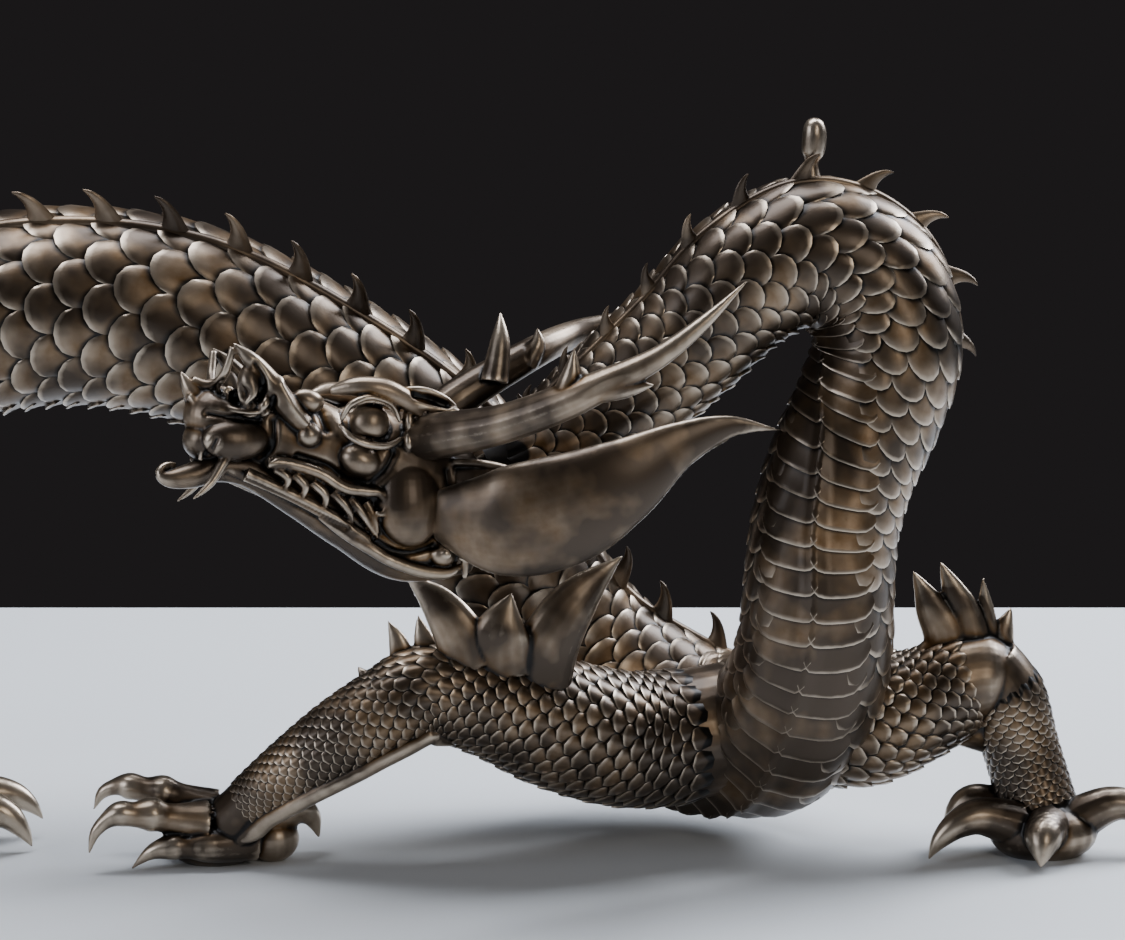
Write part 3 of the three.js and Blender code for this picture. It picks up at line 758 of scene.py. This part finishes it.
# %% Head frame
HEAD_AT = np.array([-80.7, -57.4, 149.7])
YAW, LIFT, ROLL = (math.radians(angle) for angle in (15, 22, 15))
FORWARD = np.array([-math.cos(YAW) * math.cos(LIFT), -math.sin(YAW) * math.cos(LIFT), math.sin(LIFT)])
LEVEL = np.array([math.sin(YAW), -math.cos(YAW), 0.0])
RAISED = -np.cross(LEVEL, FORWARD)
NEAR = LEVEL * math.cos(ROLL) + RAISED * math.sin(ROLL)
HEAD_UP = RAISED * math.cos(ROLL) - LEVEL * math.sin(ROLL)
HEAD_TURN = np.stack([FORWARD, NEAR, HEAD_UP], axis=1)


def on_head(rows):
    """Rows that begin with forward, side and up become rows that begin with x, y and z."""
    rows = np.asarray(rows, float)
    return np.hstack([HEAD_AT + rows[:, :3] @ HEAD_TURN.T, rows[:, 3:]])


def head_tube(rows, flat=1.0, around=14, pitch=0.9):
    return tube(on_head(rows), around=around, pitch=pitch, face=NEAR, flat=flat)


def head_lump(at, half, lean=0):
    """An egg on the head; lean turns its top towards the snout, in degrees."""
    c, s = math.cos(math.radians(lean)), math.sin(math.radians(lean))
    own = np.array([[c, 0, s], [0, 1, 0], [-s, 0, c]])
    return lump(on_head([at])[0], half, HEAD_TURN @ own, around=32, rings=18)


# %% [markdown]
# ## Masses of the head
# Skull, snout, nose and jaw lie on the middle plane. Each side of the face adds a winged nostril, a full
# upper lip, a lidded eye under a heavy brow, two leaves behind the brow, a round cheek, a leaf-shaped
# ear and the rolled curls of the mouth.

# %% Masses on the middle plane
MIDDLE_FORMS = [
    head_lump([-22, 0, 14], [33, 17.5, 21]),
    head_lump([15, 0, 13], [32, 12.5, 16]),
    head_lump([45, 0, 11], [14.5, 11.5, 11.5]),
    head_lump([49.5, 0, 2], [7.5, 8.5, 7]),
    head_tube([[54, 0, 14, 5], [60, 0, 18, 3], [64.5, 0, 22, 0.4]]),
    head_tube([[-54, 0, -3, 9], [-31, 0, -10.5, 12], [-9, 0, -9, 9.5], [10, 0, -6, 7.5], [30, 0, -3, 6],
               [42, 0, -5.5, 5], [50, 0, -11, 4.5], [57, 0, -14.5, 3.2], [61, 0, -14, 1.8],
               [60, 0, -10.8, 1.3], [56.5, 0, -8.8, 0.5]], around=32),
]


# %% Masses of one side
def face_side(side):
    """The forms of one side of the face: 1 is the near side, -1 the far one."""
    def piece(*rows, **settings):
        return head_tube([[f, side * out, *rest] for f, out, *rest in rows], **settings)

    def egg(at, half, lean=0):
        return head_lump([at[0], side * at[1], at[2]], half, lean)

    nose = [
        piece([20, 11.5, 17, 3.6], [29, 12.5, 22, 4.2], [38, 13, 28, 3.8], [46, 13, 32.5, 2.8],
              [53, 12.6, 35.6, 0.3]),
        piece([52.5, 12, 34.4, 1.3], [51.7, 9, 26.5, 1.6], [52.1, 5, 22.2, 1.8], [55.4, 2, 20.2, 2],
              [59.8, 0.5, 20.3, 2]),
        piece([52.3, 6, 14.8, 1.5], [46.5, 10, 13.9, 1.6], [39.9, 12.5, 14.5, 1.6],
              [36.4, 13.5, 16.8, 1]),
        piece([59.5, 2, 15.1, 1.5], [54.8, 5, 10.4, 1.7], [51.8, 7, 6, 1.6], [50.8, 6.5, -0.5, 1.4],
              [50, 5, -5.6, 0.8]),
        egg([42.8, 12, 23], [4.2, 4.2, 8.2], 20),
        egg([36.2, 12.6, 18.8], [2.8, 3.4, 4.2], 20),
        egg([48.3, 8.6, 19.4], [2.2, 2.4, 2.4]),
        egg([41, 8.6, 4.6], [12, 5.8, 7.2], 18),
    ]
    eye = [
        egg([-2, 13.6, 25.2], [7.2, 6.6, 7.2]),
        piece([8.9, 15.5, 20.7, 0.8], [4.8, 18, 17.8, 1.3], [-2, 19, 17, 1.5], [-9.3, 18.3, 18.8, 1.3],
              [-13.7, 16.5, 23.2, 0.7]),
        piece([8.7, 15.5, 22.3, 0.8], [7.5, 18, 28.2, 1.4], [1.7, 19.5, 32.4, 1.6],
              [-6.2, 18.6, 32.6, 1.4],
              [-11.5, 17, 28.6, 0.8]),
        piece([14, 11, 31.5, 1.6], [8.7, 14.5, 34.6, 3.2], [3.6, 16.5, 36, 4], [-3, 17.5, 37, 4.2],
              [-9.9, 17.5, 36.4, 3.8], [-18, 17, 35, 3]),
        egg([-14.5, 15.5, 30], [2, 3, 4.5], 20), egg([-16.5, 15.5, 23], [2, 3, 4], 20),
        egg([-3.6, 12.2, 11.6], [8, 5.6, 5.6]),
        egg([21, 11.8, 25.6], [6, 3.6, 3.8]), egg([17.2, 11.8, 14.2], [4.4, 4.2, 4.4]),
    ]
    leaves = [
        egg([-18.5, 17, 38.6], [10.5, 3.4, 3.2], 4),
        piece([-9, 17.5, 39.4, 1.1], [-15.7, 19.4, 41.4, 1.3], [-23.4, 19.8, 41, 1.3],
              [-29.2, 19, 39.5, 0.6]),
        piece([-9.2, 17.5, 38.4, 1.1], [-14.8, 19.6, 35.9, 1.3], [-22.2, 19.9, 36.6, 1.3],
              [-28.6, 19, 39, 0.6]),
        egg([-30.5, 16.5, 32], [11, 4, 5.6], -14),
        piece([-21, 18.6, 32, 1.2], [-21.8, 19.6, 36.4, 1.5], [-28.6, 20.2, 37.6, 1.7],
              [-35.8, 20.2, 34.6, 1.8],
              [-40.9, 19.8, 30.3, 1.5], [-36.3, 19.6, 26.7, 1.4], [-28.8, 19.6, 26, 1.4],
              [-23.3, 19, 27.8, 1.3],
              [-20.8, 18.6, 31, 0.8]),
        piece([-36, 13, 17, 4], [-45, 17.5, 18.3, 6], [-53, 22, 19.5, 5.2],
              [-62, 28, 22.6, 0.5], flat=0.4),
        piece([-34.2, 14.5, 21.3, 1.3], [-43.3, 18.5, 23.6, 1.6], [-52.8, 23.4, 24.2, 1.5],
              [-62.6, 28.6, 23.1, 0.4]),
        piece([-38, 14.5, 16.6, 1.3], [-45.1, 18, 13, 1.6], [-53, 21.8, 13.8, 1.5],
              [-58.9, 25.5, 18, 1.2],
              [-62.7, 28.6, 22.8, 0.4]),
    ]
    mouth = [
        egg([-24.5, 10.8, 4.4], [12.4, 9, 16.8], 20),
        piece([28.4, 11.5, 0.5, 2.2], [20.8, 12.2, 2.3, 2.2], [9.7, 12.8, 2.7, 2.1],
              [-0.3, 13.5, 0.5, 2],
              [-7.4, 14.2, 1.7, 1.9], [-12.7, 14.6, 2.7, 1.7], [-16.2, 14.6, 0.2, 1.5],
              [-16.1, 14.2, -3.8, 1.2],
              [-13.5, 14, -3.9, 0.6]),
        piece([34, 9, -5.5, 2.6], [18, 9.5, -7, 2.4], [2, 10, -9.5, 2.4], [-11, 10.5, -13, 2.2],
              [-22, 10.5, -16, 1.6]),
        piece([4, 8.6, -10.6, 1.4], [-6, 9.6, -13.9, 2], [-16.4, 10.2, -16.2, 2.2],
              [-24.6, 10.6, -17.8, 2.2],
              [-36, 10.8, -18, 2.2], [-45.5, 10.8, -15.8, 2], [-49.6, 10.8, -11.8, 1.1]),
        piece([-41, 12, -5.4, 1.1], [-45.3, 12.5, -5.1, 1.5], [-49.5, 12.5, -8.5, 1.6],
              [-52.4, 11.5, -15.3, 0.8]),
        egg([-42.3, 9.6, -10], [5, 4.4, 4.6]), egg([-42.6, 12.8, -9.6], [2.4, 2, 2.4]),
        egg([-45, 11, 1], [7.6, 5.4, 7.6]),
        piece([-45.4, 14, 9.6, 0.9], [-49.9, 15.4, 8.4, 1.6], [-53.7, 15.8, 3.4, 1.8],
              [-54.1, 15, -3.1, 1.7],
              [-51.4, 13.6, -8.7, 1.4], [-47.7, 13, -9.5, 0.6]),
        piece([42, 9, 0, 2.4], [44.5, 9.5, -10.6, 1.6], [46.8, 9.8, -15.7, 1.1], [49.6, 10, -19.9, 0.3]),
    ]
    curls = [
        ([25, -0.5], [20, -2.6], [19.7, -6.8]),
        ([18, -0.4], [13.2, -3.2], [12.8, -8]),
        ([11, -1], [5.3, -3.9], [3.9, -9.6]),
        ([2.7, -1.9], [-3.6, -5.6], [-7.9, -10.8]),
        ([-3.6, -2], [-10, -6], [-18, -12.5]),
        ([-9.7, -1.5], [-13.9, -5.9], [-17.3, -10.6]),
    ]
    for (f0, u0), (f1, u1), (f2, u2) in curls:
        mouth.append(piece([f0, 11.3, u0, 1.8], [f1, 12.2, u1, 1.6], [f2, 11, u2, 0.6]))
    return nose + eye + leaves + mouth


HEAD_FORMS = [*MIDDLE_FORMS, *face_side(1), *face_side(-1)]
head_clay = Clay(melt("dragon_head", HEAD_FORMS, voxel=0.65), HEAD_AT, HEAD_TURN)

# %% [markdown]
# ## Lines cut into the head
# Grooves are cut round the nostrils, eyes, cheeks and curls, and soft ridges are raised on the snout,
# the same on both sides.

# %% Strokes on both sides of the face: path, width, height
HEAD_STROKES = [
    ([[50.7, 20.2], [45.6, 19.4]], 2.6, -2.6),
    ([[44.2, 31], [39.6, 26], [38.6, 21], [41, 17]], 0.9, -1.8),
    ([[34.4, 22], [33.6, 19.6], [35.4, 16]], 0.8, -1.5),
    ([[33.4, 27], [26.8, 20.8], [19.9, 16.9]], 1.4, 0.8),
    ([[53.4, 10], [46, 11.1], [35.4, 13.6]], 1.1, -1.5),
    ([[30.4, 15], [28, 7], [28.6, 2]], 1.2, -1.4),
    ([[48.8, 2], [49, -3.6]], 0.9, -1.2),
    ([[33.6, 29.4], [25.8, 31], [17.6, 31]], 1.4, 0.8),
    ([[14.3, 23.5], [11.2, 18.6]], 2.2, -2.0),
    ([[6.6, 26.6], [2, 30.8], [-6, 31], [-10, 25.8], [-7.6, 20.6], [-1, 18.8], [4.4, 19.8],
      [6.6, 26.6]], 0.8, -1.3),
    ([[-12.6, 17.6], [-11.4, 10.6], [-8.4, 5.2]], 1.2, -1.4),
    ([[-16.7, -13], [-24.8, -14.4], [-32, -12.6], [-38.4, -7.7]], 1.1, -1.6),
    ([[-33.3, 18], [-37.6, 8.4], [-38.4, 1.5]], 1.2, -1.4),
    ([[18.8, 6.2], [7.5, 6.4], [-0.9, 4.2], [-6, 4.8]], 1.0, -1.3),
    ([[-13, 38.6], [-19.2, 39], [-25, 38.8]], 1.1, -1.6),
    ([[-25, 33.2], [-30.3, 32], [-36.1, 30.2]], 2.0, -1.8),
    ([[-45.5, 18.6], [-51.3, 19], [-56, 20.4]], 1.8, -1.6),
    ([[-43.9, -7.1], [-39, -3.9], [-36.6, 1.8], [-39.1, 6.7], [-43.6, 9.4]], 0.9, -1.6),
    ([[-46.5, 6.6], [-50.4, 2.4], [-50.8, -3.4], [-47.8, -6.8]], 0.8, -1.3),
    ([[38.9, -7.4], [25.5, -8.6], [10.7, -10.4], [-5.6, -12.4]], 0.8, -0.9),
]
for path, width, height in HEAD_STROKES:
    for side in (1, -1):
        head_clay.stroke(path, width, height, side)
head_clay.write()
head_clay.patina(reach=14, depth=0.55)
head = head_clay.thing

# %% [markdown]
# ## Horns and mane
# Two horns sweep back from the brow, each with two prongs. Under them a leaf of mane stands out on each
# side of the neck, broad at the cheek and drawn to a point.

# %% Horns
HORNS = [
    tube([[-49, -54, 168, 8.5], [-38, -66, 172, 8], [-20, -78, 178, 7], [0, -87, 187, 6.5],
          [14, -90, 194, 5.5], [32, -90, 203, 4], [48, -88, 215, 2.6], [63, -85, 229, 0.3]]),
    tube([[0, -87, 187, 5], [3, -88, 197, 3.5], [4, -88, 207, 0]]),
    tube([[10, -90, 192, 5], [22, -91, 193, 3.5], [32, -90, 194, 0]]),
    tube([[-52, -32, 165, 8], [-36, -30, 178, 7], [-12, -16, 190, 6], [4, 4, 194, 5],
          [20, 13, 197, 3.5], [36, 18, 204, 0.3]]),
    tube([[-24, -34, 184, 5], [-22, -30, 198, 3.5], [-22, -26, 208, 0]]),
    tube([[-13, -20, 188, 4.5], [-9, -20, 195, 3], [-9, -20, 201, 0]]),
]
horn_clay = Clay(melt("dragon_horns", HORNS, voxel=0.8))
for rise in (-3.5, 0, 3.5):  # fine grooves, cut from the far side only
    horn_clay.stroke([[-36, 172 + rise], [-18, 179 + rise], [0, 187 + rise]], 0.9, -0.7)
horn_clay.write()
horn_clay.patina()
horns = horn_clay.thing

# %% Mane
MANE = [
    tube([[-44, -60, 142, 9], [-22, -69, 141, 19], [0, -72, 146, 20], [20, -72, 156, 15.5],
          [40, -68, 168, 8.5], [58, -64, 174, 4], [76, -60, 172, 0]], flat=0.42, around=40),
    tube([[-36, -38, 140, 14], [-16, -12, 142, 17], [6, 2, 150, 16], [28, 8, 162, 11],
          [46, 9, 172, 5], [58, 9, 178, 0]], flat=0.42, around=40),
]
mane_clay = Clay(melt("dragon_mane", MANE, voxel=0.8))
ALL = -200.0  # as inner, it leaves no point out
for k in range(9):  # grooves of the far faces fan out of the cheek and run together at the tip
    fan = k / 8
    groove = [[-42, 148 - 12 * fan], [-18, 157 - 22 * fan], [6, 160 - 22 * fan],
              [28, 166 - 14 * fan], [50, 173 - 6 * fan]]
    mane_clay.stroke(groove, 0.9, -1.1, inner=ALL)
lower_rim = [[-46, 128], [-22, 123], [2, 127], [22, 142], [40, 160], [56, 170]]
mane_clay.stroke(lower_rim, 1.6, 1.4, inner=ALL)
mane_clay.write()
mane_clay.patina()
mane = mane_clay.thing

# %% Every piece
bud_clay = Clay(bud_leaf)
bud_clay.patina()
PIECES = [neck, back, left_fore, right_fore, near_hind, far_hind, bud_leaf, head, horns, mane]
for piece in PIECES:
    piece.data.calc_loop_triangles()
    print(piece.name, len(piece.data.loop_triangles), "triangles")


# %% [markdown]
# ## Patinated bronze
# The metal is bronze with a dark brown patina, made by heating the casting and brushing on a chemical,
# then waxed. Raised edges are rubbed through to a paler, warmer metal. Grooves, hollows and the walls
# under edges are painted almost black, partly as the patina that is thickest there and partly as
# painted shade. The wax gives a second, sharper gloss over the metal's own satin one.

# %% Helpers for materials
def linear(colour):
    """A sRGB hex colour such as 5b4a36 as linear red, green, blue and alpha."""
    channels = [int(colour[k:k + 2], 16) / 255 for k in (0, 2, 4)]
    return [*[c / 12.92 if c <= 0.04045 else ((c + 0.055) / 1.055) ** 2.4 for c in channels], 1]


def add(tree, kind, settings=None, links=None):
    """Add a node: settings go to its inputs or its own properties, links join sockets to its inputs."""
    node = tree.nodes.new(kind)
    for key, value in (settings or {}).items():
        if hasattr(node, str(key)):
            setattr(node, key, value)
        else:
            node.inputs[key].default_value = value
    for key, socket in (links or {}).items():
        tree.links.new(socket, node.inputs[key])
    return node


def ramp(tree, factor, stops):
    """A colour ramp from (position, hex colour) stops."""
    node = add(tree, "ShaderNodeValToRGB", links={"Fac": factor})
    elements = node.color_ramp.elements
    elements[0].position, elements[0].color = stops[0][0], linear(stops[0][1])
    elements[1].position, elements[1].color = stops[-1][0], linear(stops[-1][1])
    for position, colour in stops[1:-1]:
        elements.new(position).color = linear(colour)
    return node


# %% Soles and tips
def keep_in_box(piece):
    """Bring points that stand outside the CAD node's box onto it, which also makes the soles flat."""
    points = np.empty(len(piece.data.vertices) * 3)
    piece.data.vertices.foreach_get("co", points)
    inside = np.clip(points.reshape(-1, 3), CAD_BOX[0], CAD_BOX[1])
    piece.data.vertices.foreach_set("co", inside.ravel())
    piece.data.update()


# %% The bronze
def bronze_patina_and_painted_shade(name, groove, patina, rubbed, amber):
    """Bronze whose colour goes from groove through patina to rubbed metal as the rubbing value rises; the groove
    colour paints hollows and walls dark as painted shade with patina.
    """
    material = bpy.data.materials.new(name)
    material.use_nodes = True
    tree = material.node_tree
    tree.nodes.clear()
    place = add(tree, "ShaderNodeTexCoord").outputs["Object"]
    wear_and_painted_shade = add(tree, "ShaderNodeAttribute", {"attribute_name": "wear_and_painted_shade"}).outputs["Fac"]
    shade = add(tree, "ShaderNodeAttribute", {"attribute_name": "shade"}).outputs["Fac"]
    clouds = add(tree, "ShaderNodeTexNoise", {"Scale": 1 / (28 * MM), "Detail": 3.0}, {"Vector": place})
    blotches = add(tree, "ShaderNodeTexNoise", {"Scale": 1 / (6 * MM), "Detail": 4.0}, {"Vector": place})
    grain = add(tree, "ShaderNodeTexNoise", {"Scale": 1 / (0.9 * MM), "Detail": 3.0}, {"Vector": place})
    uneven = add(tree, "ShaderNodeMath", {"operation": "MULTIPLY_ADD", 1: 0.35, 2: -0.17},
                 {0: blotches.outputs["Fac"]})
    rubbing_and_painted_shade = add(tree, "ShaderNodeMath", {"operation": "ADD", "use_clamp": True},
                  {0: wear_and_painted_shade, 1: uneven.outputs[0]})
    # The groove colour at the low end of both ramps paints sunk points dark: painted shade with patina.
    tone = ramp(tree, rubbing_and_painted_shade.outputs[0], [(0.0, groove), (0.3, patina), (0.7, patina), (1.0, rubbed)])
    warm = ramp(tree, rubbing_and_painted_shade.outputs[0], [(0.0, groove), (0.35, amber), (1.0, rubbed)])
    # Painted shade: near grooves and under the neighbours' edges the colour is pulled to the groove colour, with the
    # patina there.
    dark = add(tree, "ShaderNodeMapRange", {"interpolation_type": "SMOOTHSTEP"}, {"Value": shade})
    where = add(tree, "ShaderNodeMapRange", {"From Min": 0.46, "From Max": 0.62},
                {"Value": clouds.outputs["Fac"]})
    colour = add(tree, "ShaderNodeMix", {"data_type": "RGBA"},
                 {"Factor": where.outputs[0], "A": tone.outputs[0], "B": warm.outputs[0]})
    groove_patina_and_painted_shade = add(tree, "ShaderNodeMix", {"data_type": "RGBA", "B": linear(groove)},
                  {"Factor": dark.outputs[0], "A": colour.outputs["Result"]})
    rough = add(tree, "ShaderNodeMapRange", {"To Min": 0.52, "To Max": 0.3},
                {"Value": rubbing_and_painted_shade.outputs[0]})
    bump = add(tree, "ShaderNodeBump", {"Strength": 0.12, "Distance": 0.3 * MM},
               {"Height": grain.outputs["Fac"]})
    shader = add(tree, "ShaderNodeBsdfPrincipled",
                 {"Metallic": 0.9, "Coat Weight": 0.35, "Coat Roughness": 0.28},
                 {"Base Color": groove_patina_and_painted_shade.outputs["Result"], "Roughness": rough.outputs[0],
                  "Normal": bump.outputs[0]})
    add(tree, "ShaderNodeOutputMaterial", links={"Surface": shader.outputs[0]})
    return material


# groove is the near-black colour of the painted shade and thick patina in hollows, walls and skin.
bronze = bronze_patina_and_painted_shade("bronze_patina_and_painted_shade", groove="0b0806", patina="42372c", rubbed="b0a290",
                          amber="5c4220")
for piece in PIECES:
    keep_in_box(piece)
    piece.data.materials.clear()
    piece.data.materials.append(bronze)
    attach(piece, "root")
    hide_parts("dragon")
print("pieces:", [piece.name for piece in PIECES])

# %% [markdown]
# ## Table, background and light
# The dragon stands on a plain pale table that ends behind it, in a dark room. A large soft light stands
# behind its right side and a wide one hangs over it. Two weak ones fill from the left and, a little
# warmer, from the front right.

# %% Table and background
def stage_material(name, colour, roughness):
    material = bpy.data.materials.new(name)
    material.use_nodes = True
    shader = material.node_tree.nodes["Principled BSDF"]
    shader.inputs["Base Color"].default_value = linear(colour)
    shader.inputs["Roughness"].default_value = roughness
    return material


TABLE_BACK = 394.0  # how far behind the front paws the table ends


def stage_sheet(name, corners, material):
    mesh = bpy.data.meshes.new(name)
    mesh.from_pydata(to_frame(corners).tolist(), [], [(0, 1, 2, 3)])
    mesh.materials.append(material)
    sheet = bpy.data.objects.new(name, mesh)
    bpy.context.collection.objects.link(sheet)


TABLE_CORNERS = [[-2200, -2600, 0], [2200, -2600, 0], [2200, TABLE_BACK, 0], [-2200, TABLE_BACK, 0]]
stage_sheet("table", TABLE_CORNERS,
            stage_material("pale_table", "d9dee2", 0.55))

world = bpy.data.worlds.new("dark_room")
world.use_nodes = True
world.node_tree.nodes["Background"].inputs["Color"].default_value = linear("201e1f")
world.node_tree.nodes["Background"].inputs["Strength"].default_value = 1.0
bpy.context.scene.world = world

# %% Lights
def softbox(name, place, target, size, watts, colour="ffffff"):
    """A rectangular soft light at a working place, turned towards another."""
    light = bpy.data.lights.new(name, "AREA")
    light.shape = "RECTANGLE"
    light.size, light.size_y = size[0] * MM, size[1] * MM
    light.energy = watts
    light.color = linear(colour)[:3]
    lamp = bpy.data.objects.new(name, light)
    bpy.context.collection.objects.link(lamp)
    lamp.location = to_frame(place)
    direction = to_frame(target) - to_frame(place)
    lamp.rotation_euler = mathutils.Vector(direction).to_track_quat("-Z", "Y").to_euler()


softbox("back_right", [900, 700, 900], [60, 20, 120], (700, 900), 32, "f2f6ff")
softbox("overhead", [-250, 250, 1500], [-60, 0, 120], (1500, 700), 32, "f6f8ff")
softbox("left_fill", [-1500, -900, 700], [-60, 0, 120], (900, 900), 11, "eef3ff")
softbox("front_right", [900, -1600, 900], [60, 0, 120], (500, 900), 7, "fff4e6")

# %% Camera
CAMERA_RAISED = 12.0  # degrees that it looks down
camera_data = bpy.data.cameras.new("camera")
camera_data.lens = 177.8
camera_data.sensor_width = 36.0
camera_data.clip_end = 20
camera = bpy.data.objects.new("camera", camera_data)
bpy.context.collection.objects.link(camera)
camera.location = to_frame([0, -1956.3, 560.8])
camera.rotation_euler = (math.radians(90 - CAMERA_RAISED), 0, 0)
bpy.context.scene.camera = camera
